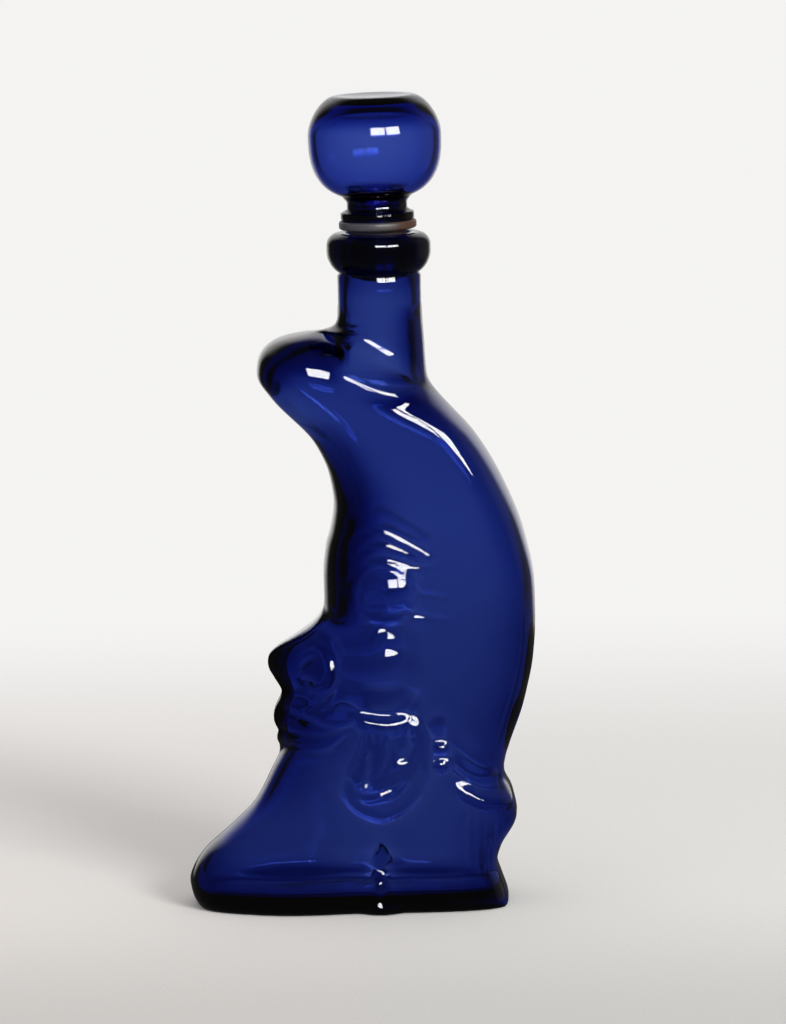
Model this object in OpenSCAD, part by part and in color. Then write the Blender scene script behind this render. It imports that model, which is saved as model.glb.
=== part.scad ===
// Figural glass decanter: a crescent moon with a face, standing on a swirl of cloud,
// closed by a hollow ball stopper in a ribbed plastic seal.
// Millimetres, +Z up. The origin is on the table, under the middle of the bottle's width.
// The face looks towards -X and the two halves of the mould meet on the plane Y = 0.

/* [Body] */
// Width of the bottle from the toe of the base to the back of the moon
body_w = 121.6; // [112:0.2:132]
// Height of the crescent, up to the root of the neck
shoulder_h = 202; // [190:1:215]
// Depth of the crescent from side to side
body_d = 52; // [48:1:60]
// Thickness of the blown glass wall
wall = 3.2; // [2.6:0.1:3.8]
// Thickness of the glass along the inner edge of the moon, which carries the face
edge_wall = 5.2; // [4:0.1:6]
// Thickness of the glass floor
floor_t = 6.5; // [6:0.5:10]
// Radius of the rounded lower edge
foot_r = 3; // [2:0.5:4]
// Height of the push-up in the underside
pushup_h = 2; // [1:0.5:3]
// Radius of the push-up in the underside
pushup_r = 17; // [12:1:19]

/* [Face and cloud] */
// How far the nose stands out of the inner edge of the moon
nose_out = 17.2; // [14:0.2:20]
// Height of the carved relief of brow, eye, cheek and cloud
relief_h = 3; // [2:0.1:3.6]
// How far the fold at the middle of the base stands out
fold_out = 7; // [4:0.5:8]

/* [Neck] */
// Outer diameter of the neck
neck_d = 28.8; // [27.4:0.1:30]
// Place of the neck's axis along the body's width
neck_x = 9; // [7:0.5:10]
// Height of the mouth above the root of the neck
neck_h = 32.2; // [28:0.2:40]
// Diameter of the bore
bore_d = 21.4; // [20:0.1:22]
// Diameter of the rounded lip
lip_d = 36; // [34:0.1:38]
// Height of the rounded lip
lip_h = 14; // [12:0.5:16]
// Radius of the lip's upper edge
lip_edge_r = 4.5; // [3.6:0.1:5]

/* [Stopper] */
// Diameter of the hollow ball
ball_d = 46; // [40:0.5:50]
// Height of the ball from its neck to its flat top
ball_h = 36; // [33:0.5:39]
// Diameter of the flat top of the ball
ball_top_d = 27; // [22:0.5:30]
// Wall of the hollow ball
ball_wall = 3.2; // [2.4:0.1:4]
// Diameter of the short neck under the ball
stem_d = 20.8; // [18:0.2:21]
// Height of the short neck under the ball
stem_h = 4; // [3:0.5:6]
// Diameter of the glass flange that sits on the seal
flange_d = 25.4; // [23:0.2:26]
// Thickness of the glass flange
flange_t = 3.1; // [2.5:0.1:4]
// Diameter of the glass shank inside the seal
shank_d = 16.8; // [15.6:0.2:17.2]
// Length of the glass shank under its flange
shank_l = 21; // [20:0.5:24]
// Diameter of the blowing hole through the shank
blow_d = 8; // [6:0.5:9]
// Lean of the stopper in the bore, in degrees, towards the face
stopper_lean = 1; // [0:0.5:2.5]

/* [Seal] */
// Diameter of the flange of the plastic seal
seal_flange_d = 26.8; // [25:0.2:28]
// Thickness of that flange
seal_flange_t = 2.9; // [2:0.1:3.5]
// Length of the sleeve under the flange
sleeve_l = 17; // [14:0.5:18]
// Number of sealing ribs round the sleeve
rib_count = 3; // [2:1:4]
// Width of one sealing rib
rib_t = 1.6; // [1:0.2:2]
// Gap between the seal's flange and the lip
seat_gap = 1.2; // [0.9:0.1:2.5]
// Running clearance between the seal and the bore, and between shank and seal
fit = 0.06; // [0.04:0.01:0.08]

/* [Hidden] */

$fn = 96;

// The outlines below are drawn at this size and scaled to the body's own size
drawn_w = 121.6;
drawn_h = 202;
drawn_d = 52;
kx = body_w / drawn_w;
ky = body_d / drawn_d;
kz = shoulder_h / drawn_h;

neck_r = neck_d / 2;
bore_r = bore_d / 2;
lip_r = lip_d / 2;
mouth_z = shoulder_h + neck_h;
neck_root_z = shoulder_h + 5;

// Points round one half of a ring, and rings up the outside and up the cavity
half_steps = 27;
cavity_half_steps = 15;

// Inner edge of the moon, from the toe of the base up to the root of the neck: [height, x]
moon_edge = [
    [0, -57.5], [4, -59.9], [9, -60.8], [13.5, -59.6], [19.5, -56.1], [25, -49.8],
    [36, -37.8], [50, -30.2], [60, -24.8], [75, -18.5], [90, -14], [103, -12],
    [117, -12.1], [126, -11.1], [132, -9.4], [141, -8.2], [151, -9.6], [162, -14.3],
    [179, -29.8], [186, -33.9], [190.5, -33.4], [194, -31.7], [197, -28.1], [199, -22.6]
];

// Back of the moon and right side of the base: [height, x]
back_edge = [
    [0, 50.6], [3, 49.8], [9, 47.7], [14.6, 46.2], [20, 47.5], [31.4, 53.8], [38, 52.6],
    [46, 49], [54, 50.5], [74, 57.1], [88, 59.9], [101, 60.8], [112, 60.6],
    [130, 57.3], [147, 51.1], [164, 41.4], [175.5, 31.2], [180.5, 26.7]
];

// How far the face stands out of the moon's edge, as a share of the nose: [height, share]
face_profile = [
    [52, 0], [55.5, 0.08], [58.5, 0.23], [61.3, 0.27], [66, 0.49], [69, 0.53],
    [72.6, 0.5], [75.4, 0.53], [79.7, 0.75], [84.3, 0.97], [87, 1], [89.6, 0.91],
    [93.6, 0.55], [98, 0.22], [103, 0.04], [107, 0]
];

// Half of the thickness of the nose, lips and chin: [height, thickness]
face_thick = [[50, 0], [56, 9], [66, 12], [75, 9], [84, 9.5], [94, 9], [107, 0]];

// Half of the depth of the moon where it is widest: [height, depth]
half_depth = [
    [0, 27], [20, 26.8], [60, 26], [125, 26], [150, 24.6], [165, 22.4], [180, 19],
    [188, 16.4], [193, 14], [196, 11.6], [198.6, 8], [200.3, 4.5], [201.3, 1.5], [202, 0]
];

// Squareness of a level cut through the body, at its front and at its back: [height, power]
front_power = [[0, 3], [12, 2.5], [40, 2.3], [60, 2.5], [120, 2.5], [165, 2.2], [185, 2]];
back_power = [[0, 4], [25, 3.4], [60, 2.6], [120, 2.3], [165, 2.1], [185, 2]];

// Levels of the rings up the outside of the body: [from, to, number of steps]
ring_bands = [
    [3, 12, 3], [12, 56, 13], [56, 106, 24], [106, 181, 15], [181, 196, 6], [196, 202, 6]
];

// Relief on each side of the body: rounded swellings [x, height, radius along x, radius up, rise]
swellings = [
    [12, 110.5, 11.5, 9.5, 1],      // eye
    [5, 89, 14.5, 12.5, 1],         // upper cheek
    [1, 80, 21, 19, 0.9],           // lower cheek
    [-16.5, 81, 5, 4.5, 0.9],       // wing of the nose
    [8, 53, 17, 15, 1.1],           // cloud under the cheek
    [-25, 4, 22, 26, 1],            // toe of the base
    [27.5, 54, 5, 7, 0.7]           // knot of the cloud
];

// Relief drawn as rounded ribs along a line: [width, rise, [[x, height], ...]]
ribs = [
    [4.6, 0.8, [[-3, 127], [2.5, 131.5], [10, 132], [17, 128.5], [24, 124.5]]],    // brow
    [4.2, 0.8, [[-7.5, 50], [-6.5, 41], [0, 36], [11, 36.5], [20, 41.5], [25, 48]]], // cloud
    [6, 0.9, [[29, 50], [36, 43], [44, 40], [53, 39]]]                              // trail of cloud
];

// Value at z of the smooth curve through the points p, which never overshoots them
function clamp01(v) = max(0, min(1, v));
function step_in(v) = let (c = clamp01(v)) c * c * (3 - 2 * c);
function find_span(p, z, i = 0) = (i >= len(p) - 2 || z < p[i + 1][0]) ? i : find_span(p, z, i + 1);
function rise(p, i) = (p[i + 1][1] - p[i][1]) / (p[i + 1][0] - p[i][0]);
function tangent(p, i) =
    i == 0 ? rise(p, 0) :
    i == len(p) - 1 ? rise(p, len(p) - 2) :
    let (a = rise(p, i - 1), b = rise(p, i), g = p[i][0] - p[i - 1][0], h = p[i + 1][0] - p[i][0])
    a * b <= 0 ? 0 : 3 * (g + h) / ((2 * h + g) / a + (h + 2 * g) / b);
function curve(p, z) =
    let (i = find_span(p, z), h = p[i + 1][0] - p[i][0], u = clamp01((z - p[i][0]) / h))
    p[i][1] * (1 + 2 * u) * (1 - u) * (1 - u) + p[i + 1][1] * u * u * (3 - 2 * u)
        + h * (tangent(p, i) * u * (1 - u) * (1 - u) - tangent(p, i + 1) * u * u * (1 - u));

function scaled(p, kv) = [for (q = p) [q[0] * kz, q[1] * kv]];

// How far the root of the neck flares out towards the horn: [height, flare]
neck_flare = [
    [shoulder_h - 4, 4], [shoulder_h - 1, 3.2], [shoulder_h + 0.4, 1.6], [shoulder_h + 2.4, 0.4],
    [neck_root_z, 0]
];

// The outlines at the body's own size, run up into the root of the neck
edge_line = concat(scaled(moon_edge, kx), [
    [shoulder_h - 1.8, neck_x - neck_r - 9],
    for (f = [1 : 4]) [neck_flare[f][0], neck_x - neck_r - neck_flare[f][1]]
]);
back_line = concat(scaled(back_edge, kx), [
    [184 * kz, neck_x + neck_r + 1.4],
    [198 * kz, neck_x + neck_r + 0.5],
    [neck_root_z, neck_x + neck_r]
]);
depth_line = scaled(half_depth, ky);
wall_line = [
    [30 * kz, wall], [60 * kz, edge_wall], [135 * kz, edge_wall], [165 * kz, wall], [185 * kz, wall]
];
thick_line = scaled(face_thick, ky);
profile_line = scaled(face_profile, nose_out);

function in_face(z) = z > 52 * kz && z < 107 * kz;
function face_x(z) = curve(edge_line, z) - (in_face(z) ? curve(profile_line, z) : 0);

// Distance from a point to the line through the points p
function to_span(x, z, a, b) =
    let (d = b - a, t = clamp01(((x - a[0]) * d[0] + (z - a[1]) * d[1]) / (d * d)))
    norm([x, z] - a - t * d);
function to_line(x, z, p) = min([for (i = [0 : len(p) - 2]) to_span(x, z, p[i], p[i + 1])]);
function dome(s) = s >= 1 ? 0 : pow(1 - s * s, 2);

// Height of the relief at a place on the side, in the drawn frame
function relief(x, z) =
    relief_h * (
        sum_of([for (s = swellings) s[4] * dome(norm([(x - s[0]) / s[2], (z - s[1]) / s[3]]))])
        + sum_of([for (r = ribs) r[1] * dome(to_line(x, z, r[2]) / r[0])])
    )
    + fold_out * dome(norm([(x - 7) / 13, z / 18]));
function sum_of(v, i = 0) = i >= len(v) ? 0 : v[i] + sum_of(v, i + 1);

// Half of the depth of the plain moon, of the neck and of the face, at x and z
function bulge(q, n) = pow(max(0, 1 - pow(abs(q), n)), 1 / n);
function moon_half(x, z, left, right, depth) =
    let (q = (2 * x - left - right) / (right - left))
    depth * bulge(q, q < 0 ? curve(front_power, z / kz) : curve(back_power, z / kz));
function neck_half(x, z) =
    let (
        flare = curve(neck_flare, z),
        reach = x < neck_x ? neck_r + flare : curve(back_line, z) - neck_x
    )
    (neck_r + flare / 2) * bulge((x - neck_x) / reach, 2) * step_in((z / kz - 165) / 28);
function face_half(x, z) =
    in_face(z) ? curve(thick_line, z) * sqrt(1 - pow(1 - clamp01((x - face_x(z)) / 11), 2)) : 0;
function blend3(a, b, c) = pow(pow(a, 4) + pow(b, 4) + pow(c, 4), 1 / 4);
function side_half(x, z) =
    let (
        plain = z >= shoulder_h ? 0 :
            moon_half(x, z, curve(edge_line, z), curve(back_line, z), curve(depth_line, z)),
        base = blend3(plain, neck_half(x, z), face_half(x, z))
    )
    base + relief(x / kx, z / kz) * step_in(base / 10) * step_in((150 - z / kz) / 10);

// One ring: x runs from the front to the back and returns along the other side
function along(u) = (1 - cos(180 * pow(u, 1.25))) / 2;
function ring(left, right, steps, z, shrink, half) =
    let (xs = [for (j = [0 : steps]) left + (right - left) * along(j / steps)])
    concat(
        [for (j = [0 : steps]) [xs[j], j == 0 || j == steps ? 0 : -shrink * half(xs[j]), z]],
        [for (j = [steps - 1 : -1 : 1]) [xs[j], shrink * half(xs[j]), z]]
    );

// How far the rounded lower edge draws in at a height z
function foot_inset(z) = z >= foot_r ? 0 : foot_r - sqrt(foot_r * foot_r - pow(foot_r - z, 2));
function outer_ring(z) =
    let (i = foot_inset(z))
    ring(face_x(z) + i, curve(back_line, z) - i, half_steps, z, 1 - i / depth_line[0][1],
        function(x) side_half(x, z));

// The cavity follows the plain moon, one wall further in. Towards its roof it follows the
// part of the horn that lies a little higher, so that the roof is as thick as the wall
cavity_top = shoulder_h - 2 - wall;
roof_from = 145 * kz;
roof_shift = shoulder_h - 2.6 * kz - cavity_top;
function to_outside(z) = z + roof_shift * step_in((z - roof_from) / (cavity_top - roof_from));
function cavity_ring(z) =
    let (
        o = to_outside(z),
        left = curve(edge_line, o) + curve(wall_line, o),
        right = curve(back_line, o) - wall,
        i = max(0, 4 - (z - floor_t)),
        depth = curve(depth_line, o) - wall
    )
    ring(left + i, right - i, cavity_half_steps, z, 1 - i / depth,
        function(x) moon_half(x, o, left, right, depth)
            + 0.5 * relief(x / kx, o / kz) * step_in(moon_half(x, o, left, right, depth) / 12)
                * step_in((150 - o / kz) / 10));

foot_levels = [for (i = [0 : 3]) foot_r * (1 - cos(i * 22.5))];
body_levels = [for (b = ring_bands) for (i = [1 : b[2]]) (b[0] + (b[1] - b[0]) * i / b[2]) * kz];
neck_levels = [shoulder_h + 1, shoulder_h + 2.4, neck_root_z, mouth_z - lip_h / 2];
outer_levels = concat(foot_levels, [foot_r], body_levels, neck_levels);
cavity_levels = [
    for (s = [0, 1, 2, 4, 8]) floor_t + s,
    for (i = [1 : 14]) floor_t + 8 + (cavity_top - 16 - floor_t - 8) * i / 14,
    for (s = [12, 9, 6.5, 4, 2, 0]) cavity_top - s
];

// A closed solid through a stack of rings
module loft(rings) {
    n = len(rings[0]);
    points = [for (r = rings) each r];
    walls = [
        for (k = [0 : len(rings) - 2]) for (j = [0 : n - 1])
            let (a = k * n + j, b = k * n + (j + 1) % n)
            each [[a, a + n, b], [b, a + n, b + n]]
    ];
    bottom = [for (j = [0 : n - 1]) j];
    top = [for (j = [n - 1 : -1 : 0]) (len(rings) - 1) * n + j];
    polyhedron(points, concat(walls, [bottom, top]), convexity = 10);
}

// Half section of the lip: a long round belly below and a tighter round above
belly_r = lip_h * 0.64;
module lip_section() {
    crown = mouth_z - lip_edge_r;
    belly_z = mouth_z - lip_h * 0.45;
    polygon(concat(
        [[bore_r - 2, mouth_z - lip_h * 0.9]],
        [for (a = [-50 : 10 : 0]) [lip_r - belly_r + belly_r * cos(a), belly_z + belly_r * sin(a)]],
        [for (a = [0 : 10 : 90]) [lip_r - lip_edge_r + lip_edge_r * cos(a), crown + lip_edge_r * sin(a)]],
        [[bore_r - 2, mouth_z]]
    ));
}

// The bottle: one piece of glass from its base to its lip
module bottle() {
    pushup_ball_r = (pushup_r * pushup_r + pushup_h * pushup_h) / (2 * pushup_h);
    color("royalblue")
    difference() {
        union() {
            loft([for (z = outer_levels) outer_ring(z)]);
            translate([neck_x, 0, 0]) rotate_extrude() lip_section();
        }
        loft([for (z = cavity_levels) cavity_ring(z)]);
        translate([neck_x, 0, shoulder_h - 15]) cylinder(r = bore_r, h = neck_h + 20);
        translate([neck_x, 0, mouth_z - 1.4])
            cylinder(r1 = bore_r - 0.01, r2 = bore_r + 1.6, h = 1.6);
        translate([-8, 0, pushup_h - pushup_ball_r]) sphere(r = pushup_ball_r);
    }
}

// The stopper and its seal lean about a point on the bore's axis
lean_z = mouth_z - 4;
module leaning() {
    translate([neck_x, 0, lean_z]) rotate([0, -stopper_lean, 0]) children();
}

// Heights along the stopper's own axis, measured from the point it leans about
seal_under = 4 + seat_gap;
seal_top = seal_under + seal_flange_t;
flange_under = seal_top + fit;
stem_under = flange_under + flange_t;
ball_under = stem_under + stem_h;
ball_top = ball_under + ball_h;

// Radii of the seal: its ribs clear the bore over the whole lean
sleeve_bottom = seal_under - sleeve_l;
rib_r = bore_r - fit - max(-sleeve_bottom, seal_under) * sin(stopper_lean);
sleeve_r = rib_r - 0.6;
shank_r = shank_d / 2;
seal_hole_r = shank_r + fit;

module seal() {
    rib_step = (sleeve_l - 3 * rib_t) / rib_count;
    color("lightslategray")
    leaning()
    difference() {
        union() {
            translate([0, 0, seal_under + 0.6]) cylinder(d = seal_flange_d, h = seal_flange_t - 0.6);
            translate([0, 0, seal_under])
                cylinder(r1 = seal_flange_d / 2 - 0.9, r2 = seal_flange_d / 2, h = 0.6);
            translate([0, 0, sleeve_bottom]) cylinder(r = sleeve_r, h = sleeve_l + 0.3);
            for (i = [0 : rib_count - 1])
                translate([0, 0, sleeve_bottom + rib_t + i * rib_step])
                    cylinder(r1 = sleeve_r, r2 = rib_r, h = rib_t);
        }
        translate([0, 0, sleeve_bottom - 1]) cylinder(r = seal_hole_r, h = sleeve_l + seal_flange_t + 2);
    }
}

// Half section of the ball: round below and above, cut flat at the top
ball_r = ball_d / 2;
equator = ball_under + ball_h * 0.63;
function ball_radius(z, r, low, high, top_r) =
    z < equator
        ? r * bulge((equator - z) / (equator - low), 2.8)
        : top_r + (r - top_r) * bulge((z - equator) / (high - equator), 1.65);
module ball_section(r, low, high, top_r, foot) {
    rows = 22;
    polygon(concat(
        [[0, low], [foot, low]],
        [for (i = [1 : rows]) let (z = low + (high - low) * (1 - cos(180 * i / rows)) / 2)
            [max(foot, ball_radius(z, r, low, high, top_r)), z]],
        [[0, high]]
    ));
}

module stopper() {
    stem_r = stem_d / 2;
    flange_r = flange_d / 2;
    shank_z = flange_under - shank_l;
    color("mediumblue")
    leaning()
    difference() {
        union() {
            rotate_extrude() ball_section(ball_r, ball_under, ball_top, ball_top_d / 2, stem_r);
            translate([0, 0, stem_under - 0.5]) cylinder(r = stem_r, h = stem_h + 1);
            rotate_extrude() polygon([
                [0, flange_under], [flange_r - 0.6, flange_under], [flange_r, flange_under + 0.6],
                [flange_r, stem_under - 0.6], [flange_r - 0.6, stem_under], [0, stem_under]
            ]);
            translate([0, 0, shank_z]) cylinder(r = shank_r, h = shank_l + 0.5);
        }
        rotate_extrude() ball_section(ball_r - ball_wall, ball_under + ball_wall,
            ball_top - ball_wall * 1.2, ball_top_d / 2 - ball_wall, blow_d / 2);
        translate([0, 0, shank_z - 1])
            cylinder(d = blow_d, h = shank_l + flange_t + stem_h + ball_wall + 3);
    }
}

bottle();
seal();
stopper();
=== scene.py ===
"""A crescent-moon decanter of cobalt blue glass, with a face and a cloud for its base.

The bottle, its ball stopper and the seal are fine meshes, built here in the CAD frame.
Shape functions work in millimetres, +Z up, with the face towards -X and the mould's
parting plane on Y = 0. MM turns them into the metres of the frame.
"""
import math

import bpy
import numpy as np
from mathutils import Euler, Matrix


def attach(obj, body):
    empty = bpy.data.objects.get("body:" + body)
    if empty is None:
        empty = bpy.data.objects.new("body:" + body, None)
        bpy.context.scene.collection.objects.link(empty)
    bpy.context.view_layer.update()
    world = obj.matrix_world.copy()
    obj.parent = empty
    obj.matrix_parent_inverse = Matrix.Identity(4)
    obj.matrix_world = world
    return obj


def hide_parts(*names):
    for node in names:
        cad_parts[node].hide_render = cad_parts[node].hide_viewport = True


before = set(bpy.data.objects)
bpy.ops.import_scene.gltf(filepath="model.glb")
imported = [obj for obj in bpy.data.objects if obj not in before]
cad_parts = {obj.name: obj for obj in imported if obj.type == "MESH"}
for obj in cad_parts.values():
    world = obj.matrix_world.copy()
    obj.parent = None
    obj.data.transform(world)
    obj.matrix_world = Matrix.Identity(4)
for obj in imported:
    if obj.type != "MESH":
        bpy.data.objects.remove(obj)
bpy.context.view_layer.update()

MM = 0.001

# ---------------------------------------------------------------- sizes, in millimetres
NECK_X = 9                  # axis of the neck
NECK_R = 14.4
BORE_R = 10.7
NECK_BORE_R = 11.5          # inside of the neck below the seal
MOUTH_Z = 234.2             # top of the lip
LIP_R = 18
LIP_H = 14
LIP_EDGE_R = 4.5
LIP_BELLY = 0.64            # radius of the lip's belly, as a share of the lip's height
LIP_BELLY_DROP = 0.45       # how far the belly's middle lies under the mouth, likewise
MOUTH_EDGE_R = 1.6          # rounding between the mouth and the bore
FOOT_R = 3                  # rounding of the lower edge
FLOOR_Z = 5.5               # top of the glass floor
FLOOR_CORNER_R = 5
PUSHUP_R = 17
PUSHUP_H = 2
PUSHUP_X = -8
FLOOR_DOME_H = 1.2          # the glass floor is thicker over the push-up
FLOOR_DOME_X = 34
FLOOR_DOME_Y = 18
NOSE_OUT = 17.2             # how far the nose stands out from the moon's edge
INNER_NOSE = 0.86           # how far the cavity follows the nose
SIDE_WALL = 3.1
BACK_WALL = 2.9
SEAM_OUT = 0.16             # ridge left by the mould's parting line
FACE_ROUND = 11             # how far in from its edge the face reaches its full thickness
FACE_WALL = 3.6             # how much thinner the face is inside
RELIEF_TOP = 150            # the relief of the sides has faded out at this height
RELIEF_FADE = 10
INNER_RELIEF = 0.9          # how much of the softened relief the cavity follows
INNER_BLUR = 2.2
ROOF_SHIFT = 2.6            # how much lower the cavity's shoulder lies than the glass over it
ROOF_FROM = 145             # where that shift starts, and how far up it takes to grow
ROOF_RUN = 45
ROOT_TOP = 209              # where the neck's root starts on the horn, and how far it runs down
ROOT_RUN = 19
ROOT_LEVEL = 176            # under this height the moon shows no neck
ROOT_LEFT = -10             # the root lies between these places along x
ROOT_RIGHT = 27
HORN_END = 199.4            # above this height the neck's flare covers what is left of the horn
HORN_END_RUN = 1.4

# The outlines, as (height, value) points that a monotone spline joins
MOON_EDGE = [
    (0, -57.5), (4, -59.9), (9, -60.8), (13.5, -59.4), (19.5, -55.3), (25, -49),
    (36, -37.8), (50, -30.2), (60, -24.8), (75, -18.5), (90, -14), (103, -12),
    (117, -12.1), (126, -11.1), (132, -9.4), (141, -8.2), (151, -9.6), (162, -14.3),
    (179, -29.8), (186, -33.9), (190.5, -33.4), (194, -31.7), (197, -28.1), (199, -22.6),
    (200, -15.4), (200.7, -8.8), (202.2, -6.5), (204.4, -5.6), (207, -5.4), (220, -5.4),
]
BACK_EDGE = [
    (0, 50.6), (3, 49.8), (9, 47.7), (14.6, 46.2), (20, 47.5), (31.4, 53.4), (38, 52.2),
    (46, 49), (54, 50.5), (74, 57.1), (88, 59.9), (101, 60.8), (112, 60.6),
    (130, 57.2), (147, 50.7), (164, 41), (175.5, 30.9), (180.5, 26.7), (184, 24.8),
    (198, 23.9), (207, 23.4), (220, 23.4),
]
FACE_PROFILE = [
    (50, 0), (52, 0), (55.5, 0.08), (58.5, 0.23), (61.3, 0.27), (66, 0.49), (69, 0.53),
    (72.6, 0.5), (75.4, 0.53), (79.7, 0.75), (84.3, 0.97), (87, 1), (89.6, 0.91),
    (93.6, 0.55), (98, 0.22), (103, 0.04), (107, 0), (110, 0),
]
FACE_THICK = [(50, 0), (56, 9), (66, 12), (75, 9), (84, 9.5), (94, 9), (107, 0), (110, 0)]
HALF_DEPTH = [
    (0, 27), (20, 26.8), (60, 26), (125, 25.8), (150, 25.2), (165, 24.8), (180, 24), (186, 23.5),
    (188.7, 23.1), (190.5, 22.6), (192.4, 21.8), (194, 20.9), (195.5, 19.7), (197, 18.1),
    (198, 16.8), (199, 15.1), (200, 12.9), (201, 9.6), (202, 0), (220, 0),
]
# How much lower the moon's upper edge runs, as (x, drop) points
HORN_DROP = [(-70, 0), (-20, 0), (-12, 1.2), (-4, 4.4), (11.5, 13), (22, 18), (30, 20), (70, 20)]

# How square the crescent's section is: at its front, at its back, and how the back closes
FRONT_POWER = [
    (0, 3), (12, 2.5), (40, 2.3), (60, 2.5), (120, 2.8), (150, 3.4), (185, 3.6), (202, 3),
    (220, 3),
]
BACK_POWER = [
    (0, 5), (25, 5), (45, 4.4), (60, 3.2), (110, 3.6), (135, 6.5), (160, 8), (190, 7),
    (202, 4), (220, 4),
]
BACK_ROUND = [
    (0, 4.4), (25, 4.2), (60, 3), (110, 3), (135, 2), (150, 1.6), (190, 1.7), (202, 2.6),
    (220, 2.6),
]
FACE_BLEND = [(0, 0.05), (54, 0.05), (64, 4), (94, 4), (106, 0.05), (220, 0.05)]
NECK_FLARE = [(0, 4), (198, 4), (201, 2.8), (202.4, 1.6), (204.4, 0.4), (207, 0), (220, 0)]

# The cavity: wall along the inner edge of the moon, and how it closes under the horn
FRONT_WALL = [
    (0, 4.4), (30, 4), (50, 4.2), (60, 4.4), (95, 4.6), (108, 5.8), (135, 5.8), (150, 4.2),
    (165, 3.8), (190, 4.2),
]
CAVITY_EDGE_TOP = [
    (194.5, -20), (196, -12), (197.2, -6.6), (199, -3.2), (201.5, -2), (205, -1.7), (220, -1.7),
]
CAVITY_BACK_TOP = [(184, 21.3), (191, 20.4), (199, 19.9), (205, 19.7), (220, 19.7)]
CAVITY_DEPTH_TOP = [
    (190, 17.6), (192.4, 15.6), (194.4, 12.6), (196, 8.8), (196.8, 5.2), (197.4, 0), (220, 0),
]
BORE_LEVELS = [
    (BORE_R, 230), (BORE_R, 224), (BORE_R, 218), (11.2, 215), (NECK_BORE_R, 211), (NECK_BORE_R, 208),
]

HALF_STEPS = 100            # points round one half of a ring
HORN_X = -13.0              # place on the horn whose depth decides how close the levels lie


# ---------------------------------------------------------------- curves and shapes
def curve(points, z):
    """Value at z of the monotone spline through the points."""
    p = np.array(points, float)
    gap = np.diff(p[:, 0])
    rise = np.diff(p[:, 1]) / gap
    tangent = np.concatenate(([rise[0]], np.zeros(len(p) - 2), [rise[-1]]))
    for i in range(1, len(p) - 1):
        a, b, g, h = rise[i - 1], rise[i], gap[i - 1], gap[i]
        if a * b > 0:
            tangent[i] = 3 * (g + h) / ((2 * h + g) / a + (h + 2 * g) / b)
    i = np.clip(np.searchsorted(p[:, 0], z, side="right") - 1, 0, len(p) - 2)
    u = np.clip((z - p[i, 0]) / gap[i], 0, 1)
    return (p[i, 1] * (1 + 2 * u) * (1 - u) ** 2 + p[i + 1, 1] * u * u * (3 - 2 * u)
            + gap[i] * (tangent[i] * u * (1 - u) ** 2 - tangent[i + 1] * u * u * (1 - u)))


def blur(values, sigma, axis=0):
    """Gaussian blur along one axis, with sigma in samples."""
    reach = int(4 * sigma) + 1
    kernel = np.exp(-0.5 * (np.arange(-reach, reach + 1) / sigma) ** 2)
    kernel /= kernel.sum()

    def run(row):
        wide = np.pad(row, reach, mode="reflect", reflect_type="odd")
        return np.convolve(wide, kernel, mode="valid")
    return np.apply_along_axis(run, axis, values)


LEVEL_STEP = 0.25
LEVELS = np.arange(0, 220, LEVEL_STEP)


def outline(points, smooth):
    """The spline through the points, smoothed over some millimetres, as a function of z."""
    values = blur(curve(points, LEVELS), smooth / LEVEL_STEP)
    return lambda z: np.interp(z, LEVELS, values)


def step_in(v):
    """Smooth step from 0 to 1."""
    c = np.clip(v, 0, 1)
    return c * c * (3 - 2 * c)


def dome(s, power=2):
    """1 at s = 0, falling to 0 at s = 1."""
    return np.clip(1 - s * s, 0, None) ** power


def oval(x, z, cx, cz, rx, rz, power=2):
    """Rounded swelling, 1 in its middle."""
    return dome(np.hypot((x - cx) / rx, (z - cz) / rz), power)


def smooth_line(points, closed=False, cuts=6):
    """Catmull-Rom curve through given points."""
    p = np.array(points, float)
    if closed:
        p = np.vstack((p[-1:], p, p[:2]))
    else:
        p = np.vstack((2 * p[0] - p[1], p, 2 * p[-1] - p[-2]))
    t = np.linspace(0, 1, cuts, endpoint=False)[:, None]
    spans = [0.5 * ((2 * b) + (c - a) * t + (2 * a - 5 * b + 4 * c - d) * t ** 2
                    + (3 * b - a - 3 * c + d) * t ** 3)
             for a, b, c, d in zip(p, p[1:], p[2:], p[3:])]
    line = np.vstack(spans)
    return np.vstack((line, line[:1] if closed else p[-2:-1]))


def line_distance(x, z, line):
    """Distance to a line of points, and how far along it the nearest place lies, 0 to 1."""
    best = np.full(np.shape(x), 1e9)
    along = np.zeros(np.shape(x))
    last = len(line) - 1
    for i, (a, b) in enumerate(zip(line, line[1:])):
        d = b - a
        t = np.clip(((x - a[0]) * d[0] + (z - a[1]) * d[1]) / (d @ d), 0, 1)
        far = np.hypot(x - a[0] - t * d[0], z - a[1] - t * d[1])
        near = far < best
        best = np.where(near, far, best)
        along = np.where(near, (i + t) / last, along)
    return best, along


def ridge(x, z, points, width, ends=(1, 1)):
    """Rounded rib along a line, 1 on its crest, fading to the given height at its ends."""
    far, along = line_distance(x, z, smooth_line(points))
    first, last = ends
    fade = np.minimum(first + (1 - first) * step_in(along / 0.35),
                      last + (1 - last) * step_in((1 - along) / 0.35))
    return dome(far / width) * fade


def inside(x, z, line):
    """Whether each place lies inside a closed line."""
    odd = np.zeros(np.shape(x), bool)
    for a, b in zip(line, line[1:]):
        if a[1] == b[1]:
            continue
        crosses = (a[1] > z) != (b[1] > z)
        odd ^= crosses & (x < (b[0] - a[0]) * (z - a[1]) / (b[1] - a[1]) + a[0])
    return odd


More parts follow.
